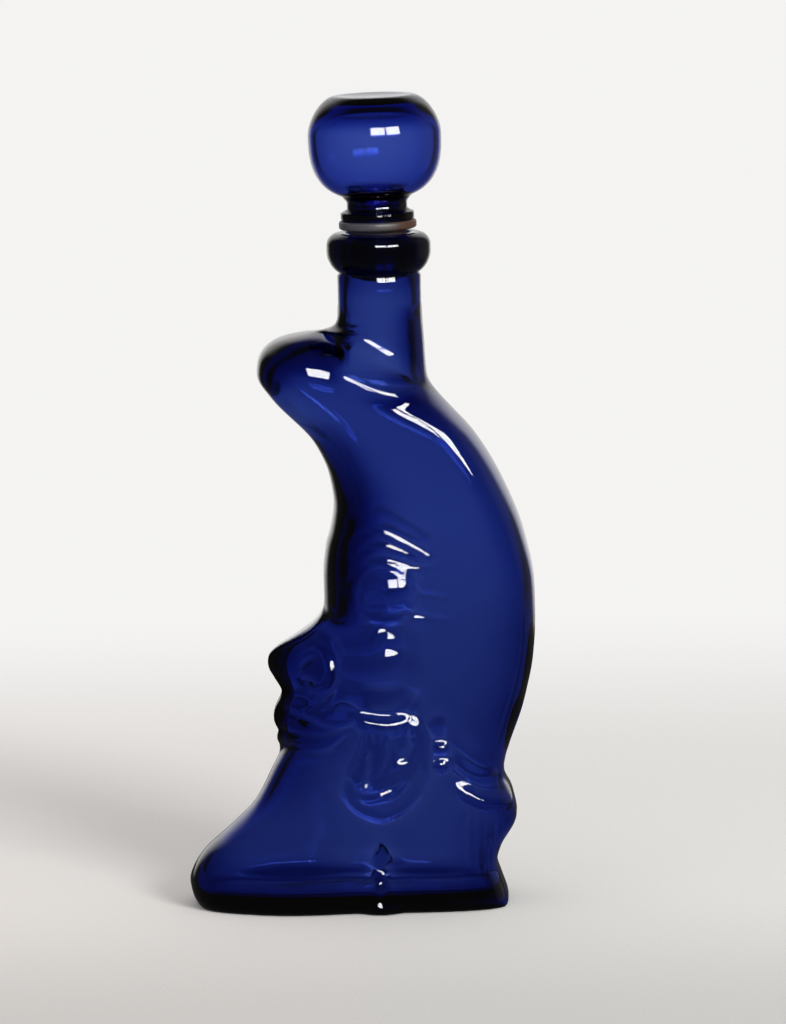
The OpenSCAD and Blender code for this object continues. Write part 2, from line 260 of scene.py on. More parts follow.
def table(x, z, points, soft):
    """Flat-topped swelling with the given outline, whose side rises over a soft width."""
    line = smooth_line(points, closed=True)
    far, _ = line_distance(x, z, line)
    depth = np.where(inside(x, z, line), far, -far)
    return step_in(depth / soft + 0.35)


# ---------------------------------------------------------------- relief on each side
BROW_UPPER = [
    (-3, 125.5), (-0.5, 130.4), (4.5, 133), (9.7, 131.9), (14.5, 129.5), (19.2, 126.9), (24.4, 123.8),
]
BROW_LOWER = [(-2, 123.6), (2.5, 127), (8, 128.2), (14, 126.2), (20, 123.8), (24.8, 122.6)]
BROW_CREASE = [(-3, 122), (3, 124.6), (8.5, 124.8), (14.5, 123.2), (21.5, 121.4), (26, 123)]
UPPER_LID = [
    (-3.4, 115.5), (-0.6, 119.4), (3.8, 121.6), (8.8, 121.7), (12.2, 121), (15.6, 118.9),
    (18.2, 115.6), (19.4, 112), (19.4, 108.5),
]
LOWER_LID = [(-4, 111), (-1.5, 106.5), (2.5, 103.8), (6.5, 102.8), (11.5, 102.9), (16.5, 105)]
IRIS_X, IRIS_Z, IRIS_R = 5.6, 110, 3.8
EYE_CORNER = [(15.5, 108), (18, 105.8), (21.5, 104.4), (27.5, 103), (34, 102.6)]
CHEEK_CREASE = [(-11, 95), (-9, 91), (-8, 85.5), (-9, 79.5), (-13, 74.5), (-20, 69.5)]
NOSE_WING = [(-17, 92.6), (-13.6, 91), (-11.4, 87.6), (-10.4, 83.4), (-12, 79.4), (-16.5, 77.6)]
MOUTH = [(-29, 69.6), (-24, 68.8), (-18, 66.4), (-12, 65), (-6, 65.4), (-2, 67.4)]
LIP_CREASE = [(-28, 62.2), (-20, 61.6), (-12.5, 62.8), (-5.5, 65), (-2, 67.8)]
CHIN_CREASE = [(-27, 56.8), (-16.5, 56.4), (-11.5, 57.8), (-7.5, 60.8), (-2.5, 66.2)]
JOWL = [
    (-6, 78), (-6.5, 86), (0, 90), (11, 91.5), (19, 89), (22, 83), (20.5, 77), (16.5, 73.5),
    (10, 71.4), (4, 71), (-2.5, 73),
]
LEDGE = [(-6, 71), (-2, 68.8), (3, 66.9), (8, 65.8), (12, 65.4), (17, 65.6)]
CHEEK_FOLD = [(0, 90.5), (3, 95), (6, 99), (9, 102.5)]
CLOUD = [
    (-2.6, 68.5), (2, 69.6), (9, 69.4), (15, 70), (19, 67.5), (22.5, 61), (23.5, 54), (22.5, 47),
    (17, 39.5), (8, 34.2), (-1, 36), (-6, 40.6), (-7.4, 44), (-4, 50), (-1, 55), (0.5, 62),
]
CLOUD_RIM = [
    (-6, 46), (-5.6, 40.8), (-1, 36.2), (6, 33.8), (10.6, 35), (15, 37.4), (20, 42.4), (23, 48),
]
CLOUD_SLOT = [(2.4, 59), (2.2, 53), (1.6, 46.5)]
PLEAT_A = [(9.8, 62), (8.6, 55), (5.2, 48.5)]
PLEAT_B = [(10, 61), (12, 57.5), (14, 54.6), (16, 59.5), (16.6, 65.5), (17.4, 69.5)]
INNER_SHELF = [(-2.5, 42), (1.5, 40.6), (6, 41.4), (10.8, 43.4), (14, 46)]
TONGUE = [(-2.5, 37), (1.5, 32), (6.5, 26.5), (11, 21.5)]
KNOT = [(27, 57.5, 3.4, 3.2), (27.2, 51.6, 3.8, 3.6)]
ROLL_CREST = [(29, 46.5), (33, 43.4), (37, 40.8), (40.5, 39), (44.6, 38), (50, 37.6), (54, 37.8)]
ROLL_TOP = [(29.5, 58), (32.5, 53.4), (36, 49.8), (40, 47.4), (46, 46.4), (52, 46)]
FLUTES = (36.2, 39.4, 42.8, 45.6)
FLUTES_LOW, FLUTES_TOP = 10, 37
STEP_LINE = [(-57, 14.2), (-45, 12.6), (-24, 12.4), (-4, 13), (26, 12), (49, 12.4)]
TOE_SWELL = (-25, 6, 24, 24)


def face_relief(x, z):
    """Brow, eye, nose and mouth."""
    eye = 3.2 * oval(x, z, 8.9, 110.5, 10.9, 10.4, 1)
    eye = eye + 0.55 * ridge(x, z, UPPER_LID, 1.3, (0.5, 0.5))
    eye = eye + 0.45 * ridge(x, z, LOWER_LID, 1.6, (0.3, 0.3))
    eye = eye - 0.3 * ridge(x, z, EYE_CORNER, 1.7, (0.6, 0)) - 0.5 * oval(x, z, 12, 105, 13, 3.5)
    iris = np.hypot(x - IRIS_X, z - IRIS_Z) - IRIS_R
    eye = eye - 0.25 * dome(iris / 1.1)
    brow = 0.6 * ridge(x, z, BROW_UPPER, 1.8, (0.2, 0.8))
    brow = brow + 0.75 * ridge(x, z, BROW_LOWER, 1.6, (0.2, 0.3))
    brow = brow - 0.5 * ridge(x, z, BROW_CREASE, 2, (0.3, 0.2))
    nose = 1.9 * oval(x, z, -16, 84, 6, 6, 1.2) + 1.3 * ridge(x, z, NOSE_WING, 1.7, (0.2, 0.5))
    nose = nose - 1.5 * oval(x, z, -19, 80.6, 3.6, 2.2) - 1.1 * ridge(x, z, CHEEK_CREASE, 2, (0.1, 0.4))
    mouth = -1.4 * ridge(x, z, MOUTH, 1.9, (1, 0.2)) - 1.1 * ridge(x, z, LIP_CREASE, 1.6, (1, 0.2))
    mouth = mouth - 1.1 * ridge(x, z, CHIN_CREASE, 2, (1, 0.2)) + 1.2 * oval(x, z, -23, 71.5, 7, 3.4)
    return eye + brow + nose + mouth


def cheek_relief(x, z):
    """The round cheek and the jowl below and behind it."""
    apple = 1.7 * oval(x, z, 2.5, 91, 13.5, 9.8, 1) + 0.8 * ridge(x, z, CHEEK_FOLD, 3.8, (0, 0))
    corner = 1.4 * oval(x, z, -7, 70, 13, 9)
    return apple + 1.2 * table(x, z, JOWL, 8) + 0.9 * ridge(x, z, LEDGE, 3.8, (0.5, 0.4)) + corner


def cloud_relief(x, z):
    """The cloud that the moon rests on: puff, pleats, tongue, knot and trailing roll."""
    puff = 1.3 * table(x, z, CLOUD, 4.2) + 2 * oval(x, z, 3, 48, 20, 20)
    puff = puff + 1.1 * ridge(x, z, CLOUD_RIM, 2.6, (0.3, 0.4))
    puff = puff + 0.7 * ridge(x, z, INNER_SHELF, 1.9, (0.2, 0.2))
    pleats = 1.3 * ridge(x, z, CLOUD_SLOT, 1.7, (0.2, 0.8)) + 0.8 * ridge(x, z, PLEAT_A, 1.8, (0.3, 0.3))
    pleats = pleats + ridge(x, z, PLEAT_B, 1.9, (0.3, 0.6))
    tongue = -0.45 * ridge(x, z, TONGUE, 5, (0.5, 0.8))
    knot = sum(1.8 * oval(x, z, *k, 1.4) for k in KNOT)
    roll = 1.9 * ridge(x, z, ROLL_CREST, 4.2, (0.1, 1)) + 0.9 * ridge(x, z, ROLL_TOP, 3.6, (0.2, 1))
    flutes = sum(0.5 * dome((x - f) / 1.5) for f in FLUTES)
    flutes = flutes * step_in((FLUTES_TOP - z) / 6) * step_in((z - FLUTES_LOW) / 6)
    return puff - pleats + tongue + knot + roll - flutes


def base_relief(x, z):
    """The plinth, its step and the fold that stands out at its middle."""
    step = -0.25 * ridge(x, z, STEP_LINE, 2.2, (0.2, 0.6))
    toe = 2.2 * oval(x, z, *TOE_SWELL)
    width = 7.2 - 6 * np.clip(z / 15, 0, 1)
    side = (x - 6 + 0.06 * z) / width
    fold = 3.4 * dome(side, 1) * step_in((16 - z) / 4)
    groove = -1.8 * oval(x, z, 5.6, 6, 2.4, 5.5)
    return step + toe + fold + groove


def relief(x, z):
    """All that stands out from the plain sides."""
    return face_relief(x, z) + cheek_relief(x, z) + cloud_relief(x, z) + base_relief(x, z)


# ---------------------------------------------------------------- the bottle's two shells
moon_edge = outline(MOON_EDGE, 0.8)
back_edge = outline(BACK_EDGE, 1.1)
half_depth = outline(HALF_DEPTH, 0.8)
face_blend = outline(FACE_BLEND, 1)
nose = outline(FACE_PROFILE, 0.6)
face_thick = outline(FACE_THICK, 1)
front_power = outline(FRONT_POWER, 3)
back_power = outline(BACK_POWER, 3)
back_round = outline(BACK_ROUND, 3)
neck_flare = outline(NECK_FLARE, 0.6)
front_wall = outline(FRONT_WALL, 3)
soft_nose = outline(FACE_PROFILE, 2.4)
inner_heights = np.arange(0, 191, 3)


def outside_of(z):
    """Height on the outside that the cavity follows at the height z."""
    return z + ROOF_SHIFT * step_in((z - ROOF_FROM) / ROOF_RUN)


def cavity_outline(follow, top, smooth):
    """An outline of the cavity: it follows the outside and then closes under the horn."""
    heights = [h for h in inner_heights if h < top[0][0] - 2]
    return outline([(h, float(follow(h))) for h in heights] + top, smooth)


cavity_edge = cavity_outline(lambda z: moon_edge(outside_of(z)) + front_wall(z), CAVITY_EDGE_TOP, 0.8)
cavity_back = cavity_outline(lambda z: back_edge(outside_of(z)) - BACK_WALL, CAVITY_BACK_TOP, 1.5)
cavity_depth = cavity_outline(lambda z: half_depth(outside_of(z)) - SIDE_WALL, CAVITY_DEPTH_TOP, 1)
drop_x = np.arange(-70, 70, 0.5)
drop_values = blur(curve(HORN_DROP, drop_x), 2)


def horn_drop(x):
    """How much lower the moon's upper edge runs at x, under the neck, than at the horn."""
    return np.interp(x, drop_x, drop_values)


def neck_root(x, z, neck, moon):
    """Half depth of the long slope by which the neck grows out of the moon."""
    return neck + np.maximum(moon - neck, 0) * step_in((ROOT_TOP - z - horn_drop(x)) / ROOT_RUN)


def outer_section(z):
    """The outside at one level: its left and right ends and its half depth at x."""
    edge, back = moon_edge(z), back_edge(z)
    left = edge - NOSE_OUT * nose(z)
    flare = max(neck_flare(z), (NECK_X - NECK_R - edge) * step_in((z - HORN_END) / HORN_END_RUN))

    def half(x):
        depths = half_depth(z + horn_drop(x)), half_depth(ROOT_LEVEL)
        return body_half(x, z, (edge, back), left, depths, face_thick(z), NECK_R, flare)
    return left, back, half


def cavity_section(z):
    """The cavity at one level, as outer_section gives the outside."""
    edge, back = cavity_edge(z), cavity_back(z)
    left = edge - NOSE_OUT * INNER_NOSE * soft_nose(z)
    thick = max(0, face_thick(z) - FACE_WALL)

    def half(x):
        depths = cavity_depth(z + horn_drop(x)), cavity_depth(ROOT_LEVEL)
        return body_half(x, z, (edge, back), left, depths, thick, NECK_BORE_R, 0.7 * neck_flare(z))
    return left, back, half


def body_half(x, z, moon, left, depths, thick, neck_radius, flare):
    """Half of the depth at x: the crescent, the face and the neck, blended."""
    edge, back = moon
    depth, full_depth = depths
    soft = face_blend(z)
    run = soft * np.logaddexp(0, (x - edge) / soft)
    q = 2 * run / (back - edge) - 1
    power = np.where(q < 0, front_power(z), back_power(z))
    rounding = np.where(q < 0, front_power(z), back_round(z))
    section = np.clip(1 - np.abs(q) ** power, 0, None) ** (1 / rounding)
    reach = np.where(x < NECK_X, neck_radius + flare, back - NECK_X)
    neck = neck_radius * np.sqrt(np.clip(1 - ((x - NECK_X) / reach) ** 2, 0, None))
    neck = neck * step_in((z - ROOT_LEVEL + 4) / 8)
    crescent = ((depth * section) ** 4 + neck ** 4) ** 0.25
    under_neck = step_in((x - ROOT_LEFT) / 8) * step_in((ROOT_RIGHT - x) / 6)
    under_neck = under_neck * step_in((z - ROOT_LEVEL) / 6)
    root = neck_root(x, z, neck, full_depth * section)
    body = crescent + (root - crescent) * under_neck
    face = thick * np.sqrt(1 - (1 - np.clip((x - left) / FACE_ROUND, 0, 1)) ** 2)
    return (body ** 4 + face ** 4) ** 0.25


def even_places(left, right, half):
    """Places along x that lie evenly along the section's outline."""
    x = left + (right - left) * (1 - np.cos(np.linspace(0, math.pi, 500))) / 2
    y = half(x)
    y[0] = y[-1] = 0
    run = np.concatenate(([0], np.cumsum(np.hypot(np.diff(x), np.diff(y)))))
    return np.interp(np.linspace(0, run[-1], HALF_STEPS + 1), run, x)


def closed_ring(xs, ys, z):
    """A ring from the front edge along -Y to the back edge and along +Y back again."""
    ys = ys.copy()
    ys[0] = ys[-1] = 0
    x = np.concatenate((xs, xs[-2:0:-1]))
    y = np.concatenate((-ys, ys[-2:0:-1]))
    return np.column_stack((x, y, np.full(len(x), z)))


def circle_ring(radius, z):
    angle = np.linspace(0, math.pi, HALF_STEPS + 1)
    return closed_ring(NECK_X - radius * np.cos(angle), radius * np.sin(angle), z)


def corner_inset(up, radius):
    """How far a rounded lower edge lies inwards at some height above its start."""
    return radius - math.sqrt(radius ** 2 - (radius - up) ** 2) if up < radius else 0


def outer_ring(z):
    left, right, half = outer_section(z)
    inset = corner_inset(z, FOOT_R)
    left, right = left + inset, right - inset
    xs = even_places(left, right, half)
    ys = (1 - inset / half_depth(0)) * half(xs)
    fade = step_in((RELIEF_TOP - z) / RELIEF_FADE)
    ys = ys + relief(xs, np.full_like(xs, z)) * step_in(ys / 10) * fade
    xs[0] -= SEAM_OUT
    xs[-1] += SEAM_OUT
    return closed_ring(xs, ys, z)


RELIEF_STEP = 0.6
relief_x = np.arange(-70, 70, RELIEF_STEP)
relief_z = np.arange(-6, 160, RELIEF_STEP)
soft_relief = relief(*np.meshgrid(relief_x, relief_z))
for grid_axis in (0, 1):
    soft_relief = blur(soft_relief, INNER_BLUR / RELIEF_STEP, grid_axis)


def inner_relief(xs, z):
    """The relief as the blown wall carries it inside: softer and shallower."""
    row = np.clip((z - relief_z[0]) / RELIEF_STEP, 0, len(relief_z) - 1.001)
    i = int(row)
    line = soft_relief[i] + (soft_relief[i + 1] - soft_relief[i]) * (row - i)
    return np.interp(xs, relief_x, line)


def cavity_ring(z):
    left, right, half = cavity_section(z)
    inset = corner_inset(z - FLOOR_Z, FLOOR_CORNER_R)
    xs = even_places(left + inset, right - inset, half)
    ys = (1 - inset / cavity_depth(z)) * half(xs) if inset else half(xs)
    fade = step_in((RELIEF_TOP - z) / RELIEF_FADE)
    ys = ys + INNER_RELIEF * inner_relief(xs, z) * step_in(ys / 12) * fade
    return closed_ring(xs, ys, z)


def even_levels(low, high, count, section):
    """Levels that lie closer where the outline runs flat."""
    z = np.linspace(low, high, 1600)
    left = np.array([section(v)[0] for v in z])
    slope = np.abs(np.gradient(left, z))
    horn = np.array([section(v)[2](np.array([HORN_X]))[0] for v in z])
    depth = np.abs(np.gradient(horn, z))
    weight = 1 + np.minimum(0.8 * slope, 7) + np.minimum(0.5 * depth, 5) + 0.9 * (z < 140)
    run = np.concatenate(([0], np.cumsum((weight[1:] + weight[:-1]) / 2)))
    return np.interp(np.linspace(0, run[-1], count), run, z)


def lip_profile():
    """Half section of the rolled lip, from the neck up over the mouth into the bore."""
    belly_r = LIP_H * LIP_BELLY
    belly_z = MOUTH_Z - LIP_H * LIP_BELLY_DROP
    crown = MOUTH_Z - LIP_EDGE_R
    points = []
    for a in np.radians(np.linspace(-58, 0, 12)):
        points.append((LIP_R - belly_r + belly_r * math.cos(a), belly_z + belly_r * math.sin(a)))
    for a in np.radians(np.linspace(8, 90, 11)):
        points.append((LIP_R - LIP_EDGE_R + LIP_EDGE_R * math.cos(a), crown + LIP_EDGE_R * math.sin(a)))
    for a in np.radians(np.linspace(0, 90, 6)):
        points.append((BORE_R + MOUTH_EDGE_R - MOUTH_EDGE_R * math.sin(a),
                       MOUTH_Z - MOUTH_EDGE_R + MOUTH_EDGE_R * math.cos(a)))
    return points


def shrunk(ring, share, height):
    """A ring drawn in towards the push-up's middle, at heights given by a function of x and y."""
    x = PUSHUP_X + (ring[:, 0] - PUSHUP_X) * share
    y = ring[:, 1] * share
    return np.column_stack((x, y, height(x, y)))


def underside(x, y):
    return PUSHUP_H * dome(np.hypot(x - PUSHUP_X, y) / PUSHUP_R, 1.5)


def floor_top(x, y):
    return FLOOR_Z + FLOOR_DOME_H * dome(np.hypot((x - PUSHUP_X) / FLOOR_DOME_X, y / FLOOR_DOME_Y))


def bottle_rings():
    """All rings, from the middle of the underside up, over the lip and down to the floor."""
    foot = [outer_ring(FOOT_R * (1 - math.cos(a))) for a in np.linspace(0, math.pi / 2, 7)]
    rings = [shrunk(foot[0], s, underside) for s in np.linspace(0.06, 0.94, 13)]
    rings += foot
    rings += [outer_ring(z) for z in even_levels(FOOT_R, 207.5, 262, outer_section)[1:]]
    rings += [circle_ring(NECK_R, z) for z in np.linspace(210, 219.4, 4)]
    rings += [circle_ring(r, z) for r, z in lip_profile()]
    rings += [circle_ring(r, z) for r, z in BORE_LEVELS]
    levels = even_levels(FLOOR_Z + FLOOR_CORNER_R, 206, 118, cavity_section)
    rings += [cavity_ring(z) for z in levels[::-1]]
    angles = np.linspace(0.2, math.pi / 2, 6)
    corner = [cavity_ring(FLOOR_Z + FLOOR_CORNER_R * (1 - math.sin(a))) for a in angles]
    rings += corner
    rings += [shrunk(corner[-1], s, floor_top) for s in np.linspace(0.94, 0.06, 10)]
    return np.array(rings)


# ---------------------------------------------------------------- stopper and seal
# Heights run along the stopper's own axis, from the point in the bore that it leans about
LEAN = 1                    # degrees
LEAN_DEPTH = 4              # how far that point lies under the mouth
TURN_STEPS = 160
SEAL_UNDER = 5.2            # underside and top of the seal's flange
SEAL_TOP = 8.1
SEAL_FLANGE_R = 13.4
SEAL_L = 17                 # length of its sleeve
SEAL_PLAY = 0.16            # between the shank and the sleeve
RIB_PLAY = 0.06             # between the ribs and the bore
RIB_OUT = 0.6
FLANGE_UNDER = 8.16         # undersides of the stopper's flange, stem and ball
STEM_UNDER = 11.26
BALL_UNDER = 15.26
BALL_H = 36
BALL_R = 23
BALL_WALL = 2.5
BALL_LOW_POWER = 2.8        # how square the ball is under its equator, and over it
BALL_HIGH_POWER = 1.65
BALL_TOP_R = 13.5           # rim of its flat top
EQUATOR = BALL_UNDER + 0.63 * BALL_H
SHANK_R = 8.4               # hollow shank in the seal
SHANK_L = 21
STEM_R = 10.4
FLANGE_R = 12.7
BLOW_R = 4                  # hole up its middle


# ---------------------------------------------------------------- meshes
def add_object(name, mesh):
    obj = bpy.data.objects.new(name, mesh)
    bpy.context.scene.collection.objects.link(obj)
    return obj


def lofted(name, rings):
    """A closed, smooth mesh through a stack of rings, capped at both ends."""
    levels, count, _ = rings.shape
    points = np.vstack((rings.reshape(-1, 3), rings[0].mean(0), rings[-1].mean(0))) * MM
    faces = []
    for k in range(levels - 1):
        for j in range(count):
            a, b = k * count + j, k * count + (j + 1) % count
            faces.append((a, b, b + count, a + count))
    low, high, start = levels * count, levels * count + 1, (levels - 1) * count
    for j in range(count):
        faces.append((low, (j + 1) % count, j))
        faces.append((high, start + j, start + (j + 1) % count))
    mesh = bpy.data.meshes.new(name)
    mesh.from_pydata(points.tolist(), [], faces)
    mesh.shade_smooth()
    return add_object(name, mesh)


def leaning(points):
    """Points of the stopper's own frame, (r, height) swept or full, put on its leaning axis."""
    lean = math.radians(LEAN)
    x, y, z = points.T
    return np.column_stack((
        NECK_X + x * math.cos(lean) - z * math.sin(lean), y,
        MOUTH_Z - LEAN_DEPTH + x * math.sin(lean) + z * math.cos(lean)))


def turned(name, profile, closed=False):
    """A solid of revolution on the stopper's axis, from (radius, height) points."""
    p = np.array(profile, float)
    if closed:
        p = np.vstack((p, p[:1]))
    steps = TURN_STEPS
    angle = np.arange(steps) * 2 * math.pi / steps
    rings = np.array([np.column_stack((r * np.cos(angle), r * np.sin(angle), np.full(steps, h)))
                      for r, h in p])
    inner = rings if closed else rings[1:-1]
    count = len(inner) - 1 if closed else len(inner)
    points = inner[:count].reshape(-1, 3)
    faces = []
    for k in range(count if closed else count - 1):
        for j in range(steps):
            a, b = k * steps + j, k * steps + (j + 1) % steps
            up = ((k + 1) % count) * steps - k * steps
            faces.append((a, a + up, b + up, b))
    if not closed:
        points = np.vstack((points, (0, 0, p[0, 1]), (0, 0, p[-1, 1])))
        low, high, start = count * steps, count * steps + 1, (count - 1) * steps
        for j in range(steps):
            faces.append((low, j, (j + 1) % steps))
            faces.append((high, start + (j + 1) % steps, start + j))
    mesh = bpy.data.meshes.new(name)
    mesh.from_pydata((leaning(points) * MM).tolist(), [], faces)
    mesh.shade_smooth()
    return add_object(name, mesh)


def ball_radius(z, r, low, high, top_r):
    """Radius of the ball at a height: squarer below its equator than above."""
    if z < EQUATOR:
        down = (EQUATOR - z) / (EQUATOR - low)
        return r * (1 - down ** BALL_LOW_POWER) ** (1 / BALL_LOW_POWER)
    up = (z - EQUATOR) / (high - EQUATOR)
    return top_r + (r - top_r) * max(0, 1 - up ** BALL_HIGH_POWER) ** (1 / BALL_HIGH_POWER)


def arc(cx, cz, r, start, end, steps=5):
    """Points along an arc, between two angles in degrees."""
    angles = np.radians(np.linspace(start, end, steps))
    return [(cx + r * math.cos(a), cz + r * math.sin(a)) for a in angles]


def ball_side(r, low, high, top_r, foot, rows):
    """Points up the ball's side, from its neck to the rim of its top."""
    points = []
    for i in range(1, rows):
        z = low + (high - low) * (1 - math.cos(math.pi * i / rows)) / 2
        radius = ball_radius(z, r, low, high, top_r)
        if radius > foot:
            points.append((radius, z))
    return points


def stopper_profile():
    """Closed half section of the stopper, from the middle of its top round to its cavity's roof."""
    top = BALL_UNDER + BALL_H
    outside = [(0, top - 0.5), (4, top - 0.48), (8, top - 0.35), (10.5, top - 0.12), (12, top)]
    side = ball_side(BALL_R, BALL_UNDER, top, BALL_TOP_R, STEM_R + 1.6, 46)[::-1]
    neck = arc(STEM_R + 1.9, BALL_UNDER - 1.2, 1.9, 60, 180)
    neck = [(r, z) for r, z in neck if r < STEM_R + 1.7]
    flange = [(STEM_R, STEM_UNDER + 1)] + arc(FLANGE_R - 0.9, STEM_UNDER - 0.9, 0.9, 90, 0)
    flange = flange + arc(FLANGE_R - 0.7, FLANGE_UNDER + 0.7, 0.7, 0, -90, 4)
    shank_end = FLANGE_UNDER - SHANK_L
    shank = [(SHANK_R + 0.2, FLANGE_UNDER), (SHANK_R, FLANGE_UNDER - 0.4)]
    shank += [(SHANK_R, FLANGE_UNDER - v) for v in (5, 10, 15)]
    shank += arc(SHANK_R - 1.2, shank_end + 1.2, 1.2, 0, -90, 4)
    shank += arc(BLOW_R + 1, shank_end + 1, 1, -90, -180, 4)
    low, high = BALL_UNDER + 2.4, top - 4.2
    hole = [(BLOW_R, z) for z in np.linspace(shank_end + 5, STEM_UNDER + 2, 6)]
    hole += [(BLOW_R + 0.3, BALL_UNDER), (BLOW_R + 1, BALL_UNDER + 1.6)]
    cavity = ball_side(BALL_R - BALL_WALL, low, high, BALL_TOP_R - 2, BLOW_R + 2, 60)
    roof = [(10, high + 0.02), (6, high - 0.1), (3, high - 0.2), (0, high - 0.25)]
    return outside + side + neck + flange + shank + hole + cavity + roof


def seal_profile():
    """Closed half section of the seal: a sleeve with three ribs under a thin flange."""
    hole = SHANK_R + SEAL_PLAY
    bottom = SEAL_UNDER - SEAL_L
    rib_r = BORE_R - RIB_PLAY + bottom * math.sin(math.radians(LEAN))
    sleeve_r = rib_r - RIB_OUT
    points = [(hole, bottom), (sleeve_r, bottom)]
    for i in range(3):
        z = bottom + 1.6 + i * (SEAL_L - 4.8) / 3
        points += [(sleeve_r, z), (rib_r, z + 1.5), (sleeve_r + 0.05, z + 1.6)]
    points += [(sleeve_r, SEAL_UNDER - 0.3), (sleeve_r + 0.3, SEAL_UNDER)]
    points.append((SEAL_FLANGE_R - 0.9, SEAL_UNDER))
    points += arc(SEAL_FLANGE_R - 0.8, SEAL_UNDER + 0.9, 0.8, -70, 0, 4)
    points += arc(SEAL_FLANGE_R - 0.8, SEAL_TOP - 0.8, 0.8, 0, 90, 4)
    return points + [(hole, SEAL_TOP)]


# ---------------------------------------------------------------- materials
GLASS_IOR = 1.51
COBALT = (0.0, 0.19, 0.656)             # what the bottle's glass lets through, and how dense it is
COBALT_DENSITY = 665
STOPPER_BLUE = (0.0, 0.2, 0.72)         # the same for the stopper's paler glass
STOPPER_DENSITY = 650
BOTTLE_WAVES = 0.0002                   # depth of the waves of the blown surface, in metres
STOPPER_WAVES = 0.0001
PIT_DEPTH = 0.00006
SEAL_GREY = (0.075, 0.075, 0.09)        # from clean to stained
SEAL_BROWN = (0.07, 0.056, 0.05)
SEAL_RUST = (0.09, 0.035, 0.015)
SEAL_SCATTER = 0.002
SEAL_GRAIN = 0.00015


def material(name):
    mat = bpy.data.materials.new(name)
    mat.use_nodes = True
    tree = mat.node_tree
    return mat, tree.nodes, tree.links, tree.nodes["Principled BSDF"]


def noise(nodes, links, place, scale, detail):
    node = nodes.new("ShaderNodeTexNoise")
    node.inputs["Scale"].default_value = scale
    node.inputs["Detail"].default_value = detail
    links.new(place, node.inputs["Vector"])
    return node.outputs["Fac"]


def separate(nodes, links, vector):
    node = nodes.new("ShaderNodeSeparateXYZ")
    links.new(vector, node.inputs["Vector"])
    return node.outputs


def bump(nodes, links, height, distance, strength=1, normal=None):
    node = nodes.new("ShaderNodeBump")
    node.inputs["Strength"].default_value = strength
    node.inputs["Distance"].default_value = distance
    links.new(height, node.inputs["Height"])
    if normal is not None:
        links.new(normal, node.inputs["Normal"])
    return node.outputs["Normal"]


def vector_math(nodes, links, operation, vector):
    node = nodes.new("ShaderNodeVectorMath")
    node.operation = operation
    links.new(vector, node.inputs[0])
    return node


def joined(nodes, links, operation, values):
    """The values joined by one Math operation after another."""
    result = values[0]
    for value in values[1:]:
        node = nodes.new("ShaderNodeMath")
        node.operation = operation
        links.new(result, node.inputs[0])
        links.new(value, node.inputs[1])
        result = node.outputs["Value"]
    return result


def maximum(nodes, links, *values):
    return joined(nodes, links, "MAXIMUM", values)


def product(nodes, links, *values):
    return joined(nodes, links, "MULTIPLY", values)


def mix_colour(nodes, links, factor, a, b):
    node = nodes.new("ShaderNodeMix")
    node.data_type = "RGBA"
    links.new(factor, node.inputs[0])
    for socket, value in ((node.inputs[6], a), (node.inputs[7], b)):
        if isinstance(value, tuple):
            socket.default_value = (*value, 1)
        else:
            links.new(value, socket)
    return node.outputs[2]


def map_range(nodes, links, value, low, high, out_low=0.0, out_high=1.0, kind="SMOOTHSTEP"):
    node = nodes.new("ShaderNodeMapRange")
    node.interpolation_type = kind
    links.new(value, node.inputs["Value"])
    node.inputs["From Min"].default_value = low
    node.inputs["From Max"].default_value = high
    node.inputs["To Min"].default_value = out_low
    node.inputs["To Max"].default_value = out_high
    return node.outputs["Result"]


def ramp(nodes, links, value, stops):
    node = nodes.new("ShaderNodeValToRGB")
    links.new(value, node.inputs["Fac"])
    elements = node.color_ramp.elements
    while len(elements) < len(stops):
        elements.new(0.5)
    for element, (place, colour) in zip(elements, stops):
        element.position = place
        element.color = (*colour, 1)
    return node.outputs["Color"]


def grey(v):
    return (v, v, v)


def glass(name, absorb_colour, density, waviness):
    """Cobalt blue glass: clear and glossy, coloured by how far light travels in it."""
    mat, nodes, links, shader = material(name)
    shader.inputs["Base Color"].default_value = (1, 1, 1, 1)
    shader.inputs["Transmission Weight"].default_value = 1
    shader.inputs["IOR"].default_value = GLASS_IOR
    shader.inputs["Roughness"].default_value = 0
    volume = nodes.new("ShaderNodeVolumeAbsorption")
    volume.inputs["Color"].default_value = (*absorb_colour, 1)
    volume.inputs["Density"].default_value = density
    output = nodes["Material Output"]
    links.new(volume.outputs["Volume"], output.inputs["Volume"])
    place = nodes.new("ShaderNodeTexCoord").outputs["Object"]
    seeds = nodes.new("ShaderNodeTexVoronoi")
    seeds.inputs["Scale"].default_value = 170
    links.new(place, seeds.inputs["Vector"])
    pits = ramp(nodes, links, seeds.outputs["Distance"], [(0.0, grey(0)), (0.1, grey(1))])
    wavy = bump(nodes, links, noise(nodes, links, place, 45, 1), waviness)
    links.new(bump(nodes, links, pits, PIT_DEPTH, 0.35, wavy), shader.inputs["Normal"])
    return mat


